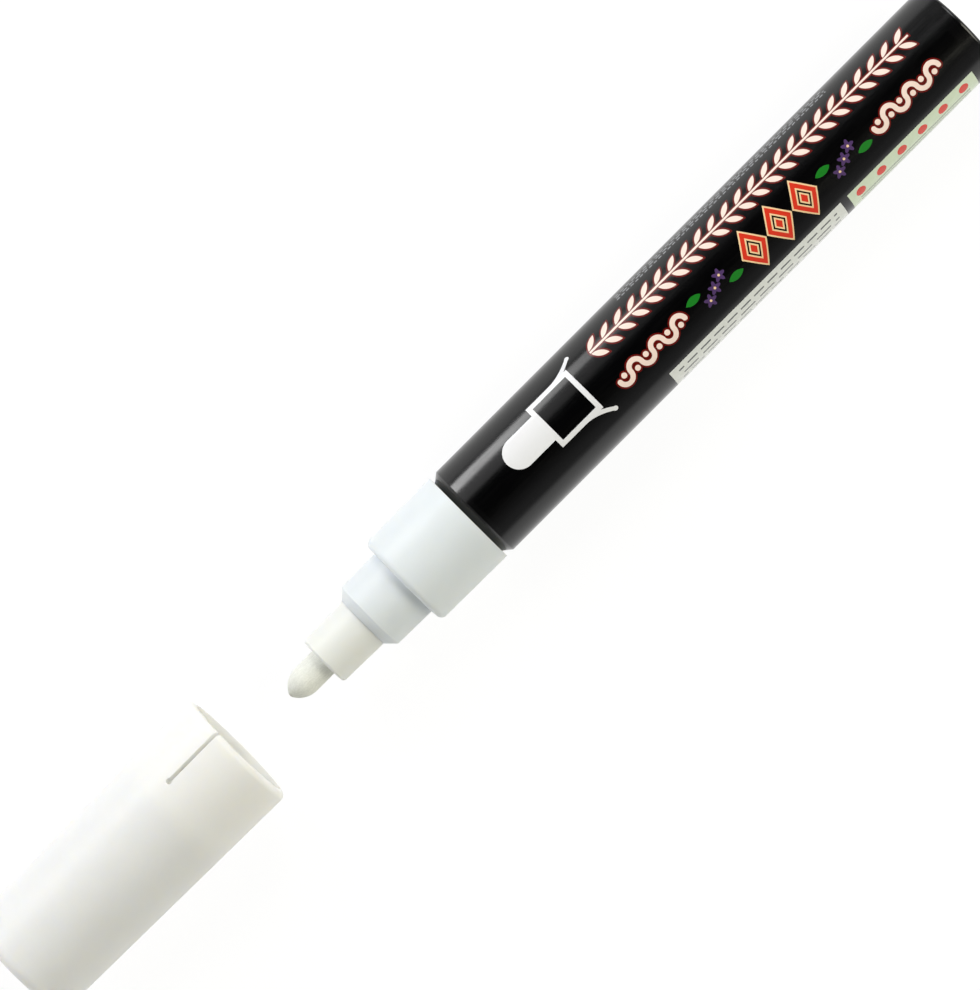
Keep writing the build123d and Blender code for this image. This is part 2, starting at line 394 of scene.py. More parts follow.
@dataclass(frozen=True)
class BareSteel:
    """Bare steel, drawn as wire or rolled bright.

    Attributes:
        name: The material's name.
        roughness: How dull it is.
        swing: How much its marks add to that.
        mark: Size of a mark, in metres.
        relief: How deep it is, in metres.
        patch: Size of the tarnished patches, in metres.
        bright: Colour between them, as a screen shows it.
        dull: Their own colour.
    """

    name: str
    roughness: float
    swing: float = 0.12
    mark: float = 0.1 * MM
    relief: float = 0.001 * MM
    patch: float = 2 * MM
    bright: ScreenColour = (206, 207, 208)
    dull: ScreenColour = (176, 176, 174)

    def make(self) -> bpy.types.Material:
        """Makes the material: fine marks in the gloss and a faint tarnish.

        Returns:
            The material.
        """
        bench = Bench(self.name)
        marks = bench.noise(self.mark, detail=3.0)
        tarnish = bench.noise(self.patch, detail=3.0)
        bench.set(
            Base_Color=bench.blend(tarnish, screen_colour(*self.bright), screen_colour(*self.dull)),
            Metallic=1.0,
            Roughness=bench.spread(marks, self.roughness, self.roughness + self.swing),
        )
        bench.bump(marks, self.relief)
        return bench.material


@dataclass(frozen=True)
class SoftRubber:
    """Dark moulded rubber with a dusty bloom.

    Attributes:
        name: The material's name.
        dark: Its colour, as a screen shows it.
        dusty: Colour of the bloom.
        patch: Size of the bloom's patches, in metres.
        relief: How deep they are, in metres.
    """

    name: str
    dark: ScreenColour = (40, 40, 41)
    dusty: ScreenColour = (62, 62, 62)
    patch: float = 0.5 * MM
    relief: float = 0.01 * MM

    def make(self) -> bpy.types.Material:
        """Makes the material: a pale, duller bloom over the dark rubber.

        Returns:
            The material.
        """
        bench = Bench(self.name)
        bloom = bench.noise(self.patch, detail=4.0)
        dust = bench.spread(bloom, 0.0, 1.0)
        bench.set(
            Base_Color=bench.blend(dust, screen_colour(*self.dark), screen_colour(*self.dusty)),
            Roughness=bench.spread(bloom, 0.62, 0.8),
        )
        bench.bump(bloom, self.relief)
        return bench.material


@dataclass(frozen=True)
class Round:
    """Place and size of a round piece that lies along X, in metres.

    Attributes:
        start: Its end nearest the cap.
        end: Its end nearest the tail.
        radius: Its radius.
        height: Its axis above the floor.
    """

    start: float
    end: float
    radius: float
    height: float

    @classmethod
    def of(cls, node: str) -> "Round":
        """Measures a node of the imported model."""
        low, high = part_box(node)
        return cls(low.x, high.x, (high.z - low.z) / 2, (high.z + low.z) / 2)

    @property
    def length(self) -> float:
        """Length along X."""
        return self.end - self.start

    @property
    def middle(self) -> Vector:
        """The point halfway along the axis."""
        return Vector(((self.start + self.end) / 2, 0, self.height))


@dataclass(frozen=True)
class Frieze:
    """A printed row of one repeated ornament, in millimetres along the barrel and round it.

    Attributes:
        start: Where it starts along the barrel.
        pitch: Length of one repeat.
        count: How many repeats there are.
        line: Its middle line round the barrel.
        fill: Ink of the ornament.
        edge: Ink round it.
        rim: Width of that edge.
    """

    start: float
    pitch: float
    count: int
    line: float
    fill: Ink
    edge: Ink
    rim: float

    @property
    def end(self) -> float:
        """Where it ends along the barrel."""
        return self.start + self.pitch * self.count


@dataclass(frozen=True)
class Sprig:
    """A printed sprig of small blossoms between leaves, in millimetres along the barrel and round it.

    Attributes:
        along: Its middle along the barrel.
        around: Its middle round the barrel.
        step: From one blossom to the next.
        petal: How far the petals reach.
        leaf: Half of a leaf's length.
    """

    along: float
    around: float
    step: float = 2.0
    petal: float = 0.95
    leaf: float = 1.35


@dataclass(frozen=True)
class Panel:
    """A plain printed panel, in millimetres along the barrel and round it.

    Attributes:
        start: Where it starts along the barrel.
        end: Where it ends along the barrel.
        near: Its lower side round the barrel.
        far: Its upper side round the barrel.
        ink: Its ink.
    """

    start: float
    end: float
    near: float
    far: float
    ink: Ink


class LabelPrint:
    """The sleeve's print, laid ink over ink.

    Distances are in millimetres: along the barrel from its front edge, and round it from the top
    line, to the side away from the key light.

    Attributes:
        NIB_SIGN_LINE: Middle line of the sign of a nib.
        LAUREL: The upper row.
        ROW: Middle line of the lower row, which the waves, sprigs and diamonds share.
        WAVES: The waves at its two ends.
        SPRIGS: The sprigs beside the diamonds.
        DIAMONDS: The diamonds at its middle.
        RULE_PANEL: The panel with rules.
        DOT_PANEL: The panel with dots.
    """

    NIB_SIGN_LINE = -1.4
    LAUREL = Frieze(start=27.6, pitch=2.6, count=24, line=-4.4, fill=Ink.CREAM, edge=Ink.MAROON, rim=0.25)
    ROW = 1.7
    WAVES = (
        Frieze(start=27.3, pitch=4.6, count=3, line=ROW, fill=Ink.CREAM, edge=Ink.MAROON, rim=0.25),
        Frieze(start=76.6, pitch=4.6, count=3, line=ROW, fill=Ink.CREAM, edge=Ink.MAROON, rim=0.25),
    )
    SPRIGS = (Sprig(along=46.3, around=ROW), Sprig(along=71.4, around=ROW))
    DIAMONDS = Frieze(start=51.5, pitch=4.9, count=3, line=ROW, fill=Ink.RED, edge=Ink.GOLD, rim=0.22)
    RULE_PANEL = Panel(start=33.6, end=67.0, near=6.3, far=15.0, ink=Ink.PALE_GREY)
    DOT_PANEL = Panel(start=68.3, end=92.6, near=6.3, far=14.0, ink=Ink.PALE_GREEN)

    def __init__(self, bench: Bench, sleeve: Round, front: float) -> None:
        """Starts a print that is black all over.

        Args:
            bench: The sleeve's material.
            sleeve: The sleeve's place and size.
            front: The barrel's front edge along X, in metres.
        """
        self.bench = bench
        self.colour: Level | Colour = Ink.BLACK.shade
        split = bench.add("ShaderNodeSeparateXYZ")
        bench.feed(split.inputs[0], bench.place())
        x, y, z = split.outputs
        self.along = bench.calc("MULTIPLY", bench.calc("SUBTRACT", x, front), 1 / MM)
        aside, above = bench.calc("MULTIPLY", y, -1.0), bench.calc("SUBTRACT", z, sleeve.height)
        turn = bench.calc("ARCTAN2", aside, above)
        self.around = bench.calc("MULTIPLY", turn, sleeve.radius / MM)

    def lay(self, ink: Ink, distance: Level) -> None:
        """Prints a shape.

        Args:
            ink: Its ink.
            distance: How far each point is outside the shape.
        """
        inside = self.bench.calc("LESS_THAN", distance, 0.0)
        self.colour = self.bench.blend(inside, self.colour, ink.shade)

    def gap(self, level: Level, middle: Level, half: float) -> Socket:
        """How far each point is outside a strip.

        Args:
            level: The coordinate across the strip.
            middle: The strip's middle line.
            half: Half of its width.

        Returns:
            The distance, below 0 inside.
        """
        offset = self.bench.calc("ABSOLUTE", self.bench.calc("SUBTRACT", level, middle))
        return self.bench.calc("SUBTRACT", offset, half)

    def span(self, start: float, end: float) -> Socket:
        """The distance outside a stretch of the barrel."""
        return self.gap(self.along, (start + end) / 2, (end - start) / 2)

    def both(self, first: Level, second: Level) -> Socket:
        """The distance outside what two shapes share."""
        return self.bench.calc("MAXIMUM", first, second)

    def box(self, start: float, end: float, near: float, far: float) -> Socket:
        """How far each point is outside a rectangle.

        Args:
            start: Its start along the barrel.
            end: Its end along the barrel.
            near: Its lower side round the barrel.
            far: Its upper side round the barrel.

        Returns:
            The distance, below 0 inside.
        """
        return self.both(self.span(start, end), self.gap(self.around, (near + far) / 2, (far - near) / 2))

    def disc(self, along: Level, around: Level, radius: float) -> Socket:
        """How far each point is outside a disc.

        Args:
            along: Distance along the barrel from the disc's middle.
            around: Distance round the barrel from its middle.
            radius: Its radius.

        Returns:
            The distance, below 0 inside.
        """
        squares = self.bench.calc("MULTIPLY_ADD", along, along, self.bench.calc("MULTIPLY", around, around))
        return self.bench.calc("SUBTRACT", self.bench.calc("SQRT", squares), radius)

    def nib_sign(self) -> None:
        """Prints a white sign of a bullet nib in a square holder with flared shoulders."""
        calc = self.bench.calc
        line, stroke = self.NIB_SIGN_LINE, 0.38
        nib_half, nib_shoulder, holder_front, holder_rear, holder_half = 2.4, 11.3, 16.4, 23.5, 3.5
        flare_start, flare_end, flare = 20.4, 25.0, 0.085
        across = calc("SUBTRACT", self.around, line)
        self.lay(Ink.WHITE, self.disc(calc("SUBTRACT", self.along, nib_shoulder), across, nib_half))
        self.lay(Ink.WHITE, self.box(nib_shoulder, holder_front, line - nib_half, line + nib_half))
        holder = self.box(holder_front, holder_rear, line - holder_half, line + holder_half)
        self.lay(Ink.WHITE, self.gap(holder, 0.0, stroke))
        past = calc("SUBTRACT", self.along, flare_start)
        bend = calc("MULTIPLY_ADD", calc("MULTIPLY", past, past), flare, holder_half)
        aside = calc("ABSOLUTE", across)
        self.lay(Ink.WHITE, self.both(self.gap(aside, bend, stroke), self.span(flare_start, flare_end)))
        flare_tip = holder_half + flare * (flare_end - flare_start) ** 2
        tip = self.disc(calc("SUBTRACT", self.along, flare_end), calc("SUBTRACT", aside, flare_tip), stroke)
        self.lay(Ink.WHITE, tip)

    def repeat(self, start: float, pitch: float) -> Socket:
        """Distance along the barrel from the middle of the nearest repeat.

        Args:
            start: Where the repeats start.
            pitch: Length of one repeat.

        Returns:
            The distance, with its sign.
        """
        calc = self.bench.calc
        return calc("SUBTRACT", calc("WRAP", calc("SUBTRACT", self.along, start), pitch, 0.0), pitch / 2)

    def lay_frieze(self, frieze: Frieze, shape: Socket) -> None:
        """Prints a row's ornament with its edge.

        Args:
            frieze: The row.
            shape: How far each point is outside the ornament.
        """
        reach = self.span(frieze.start, frieze.end)
        self.lay(frieze.edge, self.both(self.bench.calc("SUBTRACT", shape, frieze.rim), reach))
        self.lay(frieze.fill, self.both(shape, reach))

    def diamonds(self, frieze: Frieze) -> None:
        """Prints diamonds, a hollow one round a small one.

        Args:
            frieze: The row.
        """
        calc = self.bench.calc
        half_length, half_height, stroke, core = 2.12, 3.1, 0.62, 1.3
        along = calc("ABSOLUTE", self.repeat(frieze.start, frieze.pitch))
        across = calc("ABSOLUTE", calc("SUBTRACT", self.around, frieze.line))
        corner = calc("ADD", calc("DIVIDE", along, half_length), calc("DIVIDE", across, half_height))
        slope = math.hypot(1 / half_length, 1 / half_height)
        diamond = calc("DIVIDE", calc("SUBTRACT", corner, 1.0), slope)
        hollow = self.gap(diamond, -stroke / 2, stroke / 2)
        shape = calc("MINIMUM", hollow, calc("ADD", diamond, core))
        self.lay_frieze(frieze, shape)

    def waves(self, frieze: Frieze) -> None:
        """Prints a wave of half circles with round ends and a dot in each hollow.

        Args:
            frieze: The row.
        """
        calc = self.bench.calc
        half_stroke, dot, drop = 0.37, 0.42, 0.3
        margin = half_stroke + frieze.rim
        radius = (frieze.pitch - 2 * margin / frieze.count) / 4
        first, last = frieze.start + margin, frieze.end - margin
        across = calc("SUBTRACT", self.around, frieze.line)
        ends = [calc("SUBTRACT", self.along, place) for place in (first, last)]
        shape = calc("MINIMUM", *(self.disc(end, across, half_stroke) for end in ends))
        for side in (-1, 1):
            along = self.repeat(first - side * radius, 4 * radius)
            aside = calc("MULTIPLY", across, side)
            arch = self.gap(self.disc(along, aside, radius), 0.0, half_stroke)
            arch = self.both(arch, calc("MULTIPLY", aside, -1.0))
            hollow = calc("MINIMUM", arch, self.disc(along, calc("ADD", aside, drop), dot))
            start, end = first + (1 - side) * radius, last - (1 + side) * radius
            reach = self.span(start - half_stroke, end + half_stroke)
            shape = calc("MINIMUM", shape, self.both(hollow, reach))
        self.lay_frieze(frieze, shape)

    def laurel(self, frieze: Frieze) -> None:
        """Prints a stem with pairs of slanting leaves.

        Args:
            frieze: The row.
        """
        calc = self.bench.calc
        leaf, bulge, half_stem, leaf_gap, slant = 1.3, 0.44, 0.17, 0.12, math.radians(40)
        rise = half_stem + leaf_gap + leaf * math.sin(slant)
        bow = (leaf**2 + bulge**2) / (2 * bulge)
        along = self.repeat(frieze.start, frieze.pitch)
        aside = calc("SUBTRACT", calc("ABSOLUTE", calc("SUBTRACT", self.around, frieze.line)), rise)
        length = calc("MULTIPLY_ADD", along, math.cos(slant), calc("MULTIPLY", aside, math.sin(slant)))
        width = calc("MULTIPLY_ADD", aside, math.cos(slant), calc("MULTIPLY", along, -math.sin(slant)))
        sides = [self.disc(length, calc("ADD", width, way * (bow - bulge)), bow) for way in (-1, 1)]
        start, end = frieze.start + frieze.rim, frieze.end - frieze.rim
        stem = self.box(start, end, frieze.line - half_stem, frieze.line + half_stem)
        self.lay_frieze(frieze, calc("MINIMUM", self.both(*sides), stem))

    def sprig(self, sprig: Sprig) -> None:
        """Prints a slanting row of three blossoms with a leaf at each end.

        Args:
            sprig: Its place and sizes.
        """
        calc = self.bench.calc
        leaf_width, slope, crowding = 0.42, 0.45, 0.8
        petal_count, petal_root, notch, eye = 5.0, 0.8, 0.25, 0.2
        bulge = leaf_width * sprig.leaf
        bow = (sprig.leaf**2 + bulge**2) / (2 * bulge)
        for side in (-1, 1):
            along = calc("SUBTRACT", self.along, sprig.along + side * (sprig.step + sprig.leaf))
            around = calc("SUBTRACT", self.around, sprig.around + slope * side * sprig.step)
            halves = [self.disc(along, calc("ADD", around, way * (bow - bulge)), bow) for way in (-1, 1)]
            self.lay(Ink.LEAF, self.both(*halves))
        for place in (-1, 0, 1):
            along = calc("SUBTRACT", self.along, sprig.along + crowding * place * sprig.step)
            around = calc("SUBTRACT", self.around, sprig.around - slope * place * sprig.step)
            lobes = calc("COSINE", calc("MULTIPLY", calc("ARCTAN2", around, along), petal_count))
            heart = self.disc(along, around, petal_root * sprig.petal)
            self.lay(Ink.VIOLET, calc("MULTIPLY_ADD", lobes, -notch * sprig.petal, heart))
            self.lay(Ink.GOLD, self.disc(along, around, eye * sprig.petal))

    def dotted_panel(self) -> None:
        """Prints the pale green panel with a row of dots between fine rules."""
        calc = self.bench.calc
        panel = self.DOT_PANEL
        pitch, dot, margin, half_rule = 4.0, 0.85, 1.5, 0.12
        field = self.box(panel.start, panel.end, panel.near, panel.far)
        self.lay(panel.ink, field)
        middle = panel.near + margin
        dots = self.disc(self.repeat(panel.start, pitch), calc("SUBTRACT", self.around, middle), dot)
        self.lay(Ink.RED, self.both(dots, field))
        for line in (middle + step for step in (1.5, 2.3, 3.1)):
            rule = self.box(panel.start + margin, panel.end - margin, line - half_rule, line + half_rule)
            self.lay(Ink.SLATE, rule)

    def ruled_panel(self) -> None:
        """Prints the pale grey panel with fine broken rules."""
        panel = self.RULE_PANEL
        margin, first_row, half_rule, dash_share = 1.3, 0.9, 0.16, 0.37
        self.lay(panel.ink, self.box(panel.start, panel.end, panel.near, panel.far))
        for row, dash in enumerate((2.6, 3.7, 3.1, 4.3)):
            line = panel.near + margin * (row + first_row)
            rule = self.box(panel.start + margin, panel.end - margin, line - half_rule, line + half_rule)
            dashes = self.gap(self.repeat(panel.start + row * margin, dash), 0.0, dash_share * dash)
            self.lay(Ink.SLATE, self.both(rule, dashes))

    def fine_lines(self) -> None:
        """Prints fine broken lines along the side towards the key light."""
        start, end, line, step, half, dash_share = 35.6, 76.5, -8.2, 0.62, 0.15, 0.32
        for row, dash in enumerate((0.9, 1.3, 1.1)):
            middle = line - row * step
            dashes = self.gap(self.repeat(start, dash), 0.0, dash_share * dash)
            self.lay(Ink.SILVER, self.both(self.box(start, end, middle - half, middle + half), dashes))

    def lay_all(self) -> None:
        """Prints everything and gives the colour to the sleeve's shader."""
        self.nib_sign()
        for sprig in self.SPRIGS:
            self.sprig(sprig)
        self.diamonds(self.DIAMONDS)
        for waves in self.WAVES:
            self.waves(waves)
        self.laurel(self.LAUREL)
        self.dotted_panel()
        self.ruled_panel()
        self.fine_lines()
        self.bench.set(Base_Color=self.colour)


@dataclass(frozen=True)
class PrintedFilm:
    """Glossy film with print under its face.

    Attributes:
        name: The material's name.
        sleeve: The sleeve's place and size.
        front: The barrel's front edge along X, in metres.
        roughness: How matt the film is.
        swing: How much the rub marks add to that.
        rub: Width of a rub mark, in metres.
        ripple: Size of a ripple, in metres.
        relief: How deep it is, in metres.
    """

    name: str
    sleeve: Round
    front: float
    roughness: float = 0.17
    swing: float = 0.06
    rub: float = 0.3 * MM
    ripple: float = 5 * MM
    relief: float = 0.004 * MM

    def make(self) -> bpy.types.Material:
        """Makes the material: the print, rub marks in the gloss and a faint ripple.

        Returns:
            The material.
        """
        bench = Bench(self.name)
        LabelPrint(bench, self.sleeve, self.front).lay_all()
        rubs = bench.noise(self.rub, detail=3.0, stretch=12.0)
        bench.set(
            Roughness=bench.spread(rubs, self.roughness, self.roughness + self.swing),
            Specular_IOR_Level=0.5,
        )
        bench.bump(bench.noise(self.ripple, stretch=3.0), self.relief)
        return bench.material


def start_cylinder(name: str, place: Round, sides: int, closed: bool) -> bpy.types.Object:
    """Adds a cylinder along X as the start of a piece.

    Args:
        name: The piece's name.
        place: Where it lies and its radius.
        sides: How many sides it has.
        closed: Whether its ends are closed.

    Returns:
        The new object, at the origin with its place in its mesh.
    """
    bpy.ops.object.select_all(action="DESELECT")
    bpy.ops.mesh.primitive_cylinder_add(
        vertices=sides,
        radius=place.radius,
        depth=place.length,
        end_fill_type="NGON" if closed else "NOTHING",
        location=place.middle,
        rotation=(0, math.pi / 2, 0),
    )
    piece = bpy.context.active_object
    piece.name = name
    bpy.ops.object.transform_apply(location=True, rotation=True, scale=True)
    return piece


def pick_faces(piece: bpy.types.Object, wanted: Callable[[bpy.types.MeshPolygon], bool]) -> None:
    """Goes to edit mode with only some faces selected.

    Args:
        piece: The active object.
        wanted: Whether a face is one of them.
    """
    bpy.ops.object.mode_set(mode="EDIT")
    bpy.ops.mesh.select_mode(type="FACE")
    bpy.ops.mesh.select_all(action="DESELECT")
    bpy.ops.object.mode_set(mode="OBJECT")
    for face in piece.data.polygons:
        face.select = wanted(face)
    bpy.ops.object.mode_set(mode="EDIT")


def close_up() -> None:
    """Merges the active piece's doubles, turns its faces outwards and shades it smooth up to its edges."""
    bpy.ops.object.mode_set(mode="EDIT")
    bpy.ops.mesh.select_all(action="SELECT")
    bpy.ops.mesh.remove_doubles(threshold=MERGE_GAP)
    bpy.ops.mesh.normals_make_consistent(inside=False)
    bpy.ops.object.mode_set(mode="OBJECT")
    bpy.ops.object.shade_smooth_by_angle(angle=CREASE)


def apply_modifier(piece: bpy.types.Object, kind: str, **settings: object) -> None:
    """Adds a modifier and applies it.

    Args:
        piece: The active object.
        kind: The modifier's type.
        **settings: Values for its properties.
    """
    modifier = piece.modifiers.new(kind.title(), kind)
    for name, value in settings.items():
        setattr(modifier, name, value)
    bpy.ops.object.modifier_apply(modifier=modifier.name)


def mount(piece: bpy.types.Object, body: str, node: str, material: bpy.types.Material) -> None:
    """Dresses a new piece and puts it in a node's place.

    Args:
        piece: The new piece.
        body: The body that it moves with.
        node: The node that it stands for.
        material: Its material.
    """
    piece.data.materials.clear()
    piece.data.materials.append(material)
    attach(piece, body)
    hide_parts(node)
    log.info("%s: %d faces, in place of %s", piece.name, len(piece.data.polygons), node)


def dress(material: bpy.types.Material, *nodes: str) -> None:
    """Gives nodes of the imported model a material.

    Args:
        material: The material.
        *nodes: The nodes' names.
    """
    for node in nodes:
        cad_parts[node].material_slots[0].material = material
        log.info("%s: %s", node, material.name)


@dataclass
class Barrel:
    """The barrel, its printed sleeve and its tail plug.

    Attributes:
        tube: The barrel's place and size.
        sleeve: The sleeve's place and size.
        film: The film's thickness.
        lap: Height of the film's lap over its other end.
        sides: How many sides the sleeve has.
        lap_sides: How many sides the lap covers.
        lap_turn: Where the lap is, from the top towards +Y, in degrees.
    """

    tube: Round
    sleeve: Round
    film: float = 0.12 * MM
    lap: float = 0.04 * MM
    sides: int = 160
    lap_sides: int = 9
    lap_turn: float = 140.0

    def build(self) -> bpy.types.Object:
        """Models the sleeve: a film tube whose end laps over its start, low on the hidden side.

        Returns:
            The sleeve.
        """
        piece = start_cylinder("printed_sleeve", self.sleeve, self.sides, closed=False)
        apply_modifier(piece, "SOLIDIFY", thickness=self.film, offset=-1.0, use_even_offset=True)
        lap_middle, lap_half = math.radians(self.lap_turn), math.pi * self.lap_sides / self.sides

        def on_lap(face: bpy.types.MeshPolygon) -> bool:
            """Tells the outer faces on the lap from the others.

            Args:
                face: A face of the sleeve.

            Returns:
                Whether it is one of them.
            """
            y, z = face.center.y, face.center.z - self.sleeve.height
            on_wall = math.hypot(face.normal.y, face.normal.z) > FACING
            outward = face.normal.y * y + face.normal.z * z > 0
            return on_wall and outward and abs(math.atan2(y, z) - lap_middle) < lap_half

        pick_faces(piece, on_lap)
        bpy.ops.mesh.extrude_region_shrink_fatten(TRANSFORM_OT_shrink_fatten={"value": self.lap})
        close_up()
        return piece

    def dress(self) -> None:
        """Finishes the barrel, the sleeve and the plug."""
        film = PrintedFilm("printed film", self.sleeve, self.tube.start)
        mount(self.build(), "marker", "label_film", film.make())
        dress(GlossBlack("barrel black").make(), "barrel", "tail_plug")


@dataclass
class FrontEnd:
    """The white front section, the nib holder and the felt nib.

    Attributes:
        nib: The nib's place and size.
        point: Length of the nib's bullet point.
        tip_round: Radius at its tip.
        rear_bevel: Bevel at its other end.
        pores: How deep the pores are.
        pore_size: How large they are.
        sides: How many sides the nib has.
        point_steps: How many rings shape the point.
        shaft_steps: How many rings the bare part of the shaft has.
        shaft_share: Length of that part, in lengths of the point.
    """

    nib: Round
    point: float = 3.2 * MM
    tip_round: float = 0.7 * MM
    rear_bevel: float = 0.4 * MM
    pores: float = 0.05 * MM
    pore_size: float = 0.35 * MM
    sides: int = 72
    point_steps: int = 16
    shaft_steps: int = 20
    shaft_share: float = 1.2

    def point_ring(self, share: float) -> tuple[float, float]:
        """A ring of the point, on a long arc off the shaft that runs into a round tip.

        Args:
            share: From 0 at the shaft to 1 at the tip.

        Returns:
            The ring's distance from the shaft and its radius.
        """
        reach = self.point - self.tip_round
        side = (reach**2 + self.nib.radius**2 - self.tip_round**2) / (2 * (self.nib.radius - self.tip_round))
        meeting = math.atan2(reach, side - self.nib.radius)
        side_share = side * meeting / (side * meeting + self.tip_round * (math.pi / 2 - meeting))
        if share < side_share:
            turn = meeting * share / side_share
            return side * math.sin(turn), self.nib.radius - side * (1 - math.cos(turn))
        turn = meeting + (math.pi / 2 - meeting) * (share - side_share) / (1 - side_share)
        return reach + self.tip_round * math.sin(turn), self.tip_round * math.cos(turn)

    def build(self) -> bpy.types.Object:
        """Models the nib: a shaft whose front face is drawn out ring by ring, roughened by its pores.

        Returns:
            The nib.
        """
        shoulder = self.nib.start + self.point
        shaft = Round(shoulder, self.nib.end, self.nib.radius, self.nib.height)
        piece = start_cylinder("felt_nib", shaft, self.sides, closed=True)
        pick_faces(piece, lambda face: face.normal.x > FACING)
        bpy.ops.mesh.bevel(offset=self.rear_bevel, segments=2, affect="EDGES")
        pick_faces(piece, lambda face: face.normal.x < -FACING)
        drawn, radius = 0.0, self.nib.radius
        for step in range(1, self.point_steps):
            ahead, next_radius = self.point_ring(step / self.point_steps)
            bpy.ops.mesh.extrude_region_move(TRANSFORM_OT_translate={"value": (drawn - ahead, 0, 0)})
            scale = next_radius / radius
            bpy.ops.transform.resize(
                value=(1, scale, scale), center_override=(shoulder - ahead, 0, self.nib.height)
            )
            drawn, radius = ahead, next_radius
        bpy.ops.mesh.extrude_region_move(TRANSFORM_OT_translate={"value": (drawn - self.point, 0, 0)})
        bpy.ops.mesh.merge(type="CENTER")
        for step in range(1, self.shaft_steps):
            bpy.ops.mesh.select_all(action="SELECT")
            behind = self.point * self.shaft_share * step / self.shaft_steps
            bpy.ops.mesh.bisect(plane_co=(shoulder + behind, 0, 0), plane_no=(1, 0, 0))
        close_up()
        fibre = bpy.data.textures.new("fibre ends", type="CLOUDS")
        fibre.noise_scale = self.pore_size
        fibre.noise_depth = 3
        apply_modifier(piece, "DISPLACE", texture=fibre, strength=self.pores, mid_level=1.0)
        return piece

    def dress(self) -> None:
        """Finishes the front section, the holder and the nib."""
        mount(self.build(), "nib", "nib", BondedFibre("bonded fibre", (247, 249, 242)).make())
        dress(MouldedPlastic("white plastic", (229, 235, 239)).make(), "front_section")
        dress(MouldedPlastic("warm white plastic", (236, 238, 235)).make(), "nib_holder")


@dataclass
class PumpValve:
    """The valve behind the nib: its seat, stem, casing and coil.

    Attributes:
        coil: The coil's place and size.
        wire: The wire's diameter.
        turns: How many turns the coil has.
        wire_sides: How many sides the wire has.
        turn_steps: How many steps a turn has.
    """

    coil: Round
    wire: float = 0.5 * MM
    turns: int = 7
    wire_sides: int = 14
    turn_steps: int = 40

    def build(self) -> bpy.types.Object:
        """Models the coil: a ring of wire carried round the axis and along it, with its ends closed.

        Returns:
            The coil.
        """
        first, last = self.coil.start + self.wire / 2, self.coil.end - self.wire / 2
        bpy.ops.object.select_all(action="DESELECT")
        place = (first, self.coil.radius - self.wire / 2, 0)
        bpy.ops.mesh.primitive_circle_add(vertices=self.wire_sides, radius=self.wire / 2, location=place)
        piece = bpy.context.active_object
        piece.name = "valve_coil"
        bpy.ops.object.transform_apply(location=True, rotation=True, scale=True)
        apply_modifier(
            piece,
            "SCREW",
            axis="X",
            screw_offset=(last - first) / self.turns,
            iterations=self.turns,
            steps=self.turn_steps,
            render_steps=self.turn_steps,
        )
        bpy.ops.object.mode_set(mode="EDIT")
        bpy.ops.mesh.select_all(action="SELECT")
        bpy.ops.mesh.fill_holes(sides=0)
        close_up()
        piece.location.z = self.coil.height
        bpy.ops.object.transform_apply(location=True, rotation=True, scale=True)
        return piece

    def dress(self) -> None:
        """Finishes the valve, and gives the coil a mesh of its own."""
        piece = self.build()
        mount(piece, "marker", "valve_spring", BareSteel("drawn wire", roughness=0.25).make())
        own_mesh(piece)
        dress(SoftRubber("seat rubber").make(), "valve_seat")
        natural = MouldedPlastic("natural plastic", (226, 226, 220), glow=0.3)
        dress(natural.make(), "valve_stem", "valve_casing")
        dress(BareSteel("bright steel", roughness=0.08).make(), "mixing_ball")


@dataclass
class Cap:
    """The slotted cap and its liner."""

    shell: str = "cap_shell"
    liner: str = "inner_cap"

    def dress(self) -> None:
        """Finishes the cap."""
        dress(MouldedPlastic("cap plastic", (242, 242, 240), glow=0.9, depth=2.2 * MM).make(), self.shell)
        dress(MouldedPlastic("liner plastic", (240, 240, 234), roughness=0.45, glow=0.8).make(), self.liner)


@dataclass
class Softbox:
    """A soft lamp that faces a point on the marker's axis.

    Attributes:
        name: The lamp's name.
        turn: Its direction round the marker, from the tail towards +Y, in degrees.
        rise: Its height over the horizon, in degrees.
        size: Its width and height, in metres.
        power: Its power, in watts.
        along: The point that it faces, along the axis, in metres.
        far: Its distance from the point, in metres.
        tint: Its colour, as a screen shows it.
    """

    name: str
    turn: float
    rise: float
    size: tuple[float, float]
    power: float
    along: float = 0.0
    far: float = 0.8
    tint: ScreenColour = (255, 255, 255)

    def hang(self, height: float) -> None:
        """Adds the lamp.

        Args:
            height: The axis above the floor, in metres.
        """
        lamp = bpy.data.lights.new(self.name, "AREA")
        lamp.shape = "RECTANGLE"
        lamp.size, lamp.size_y = self.size
        lamp.energy = self.power
        lamp.color = screen_colour(*self.tint)[:3]
        turn, rise = math.radians(self.turn), math.radians(self.rise)
        way = Vector((math.cos(rise) * math.cos(turn), math.cos(rise) * math.sin(turn), math.sin(rise)))
        holder = bpy.data.objects.new(self.name, lamp)
        holder.location = Vector((self.along, 0, height)) + self.far * way
        holder.rotation_euler = way.to_track_quat("Z", "Y").to_euler()
        bpy.context.scene.collection.objects.link(holder)


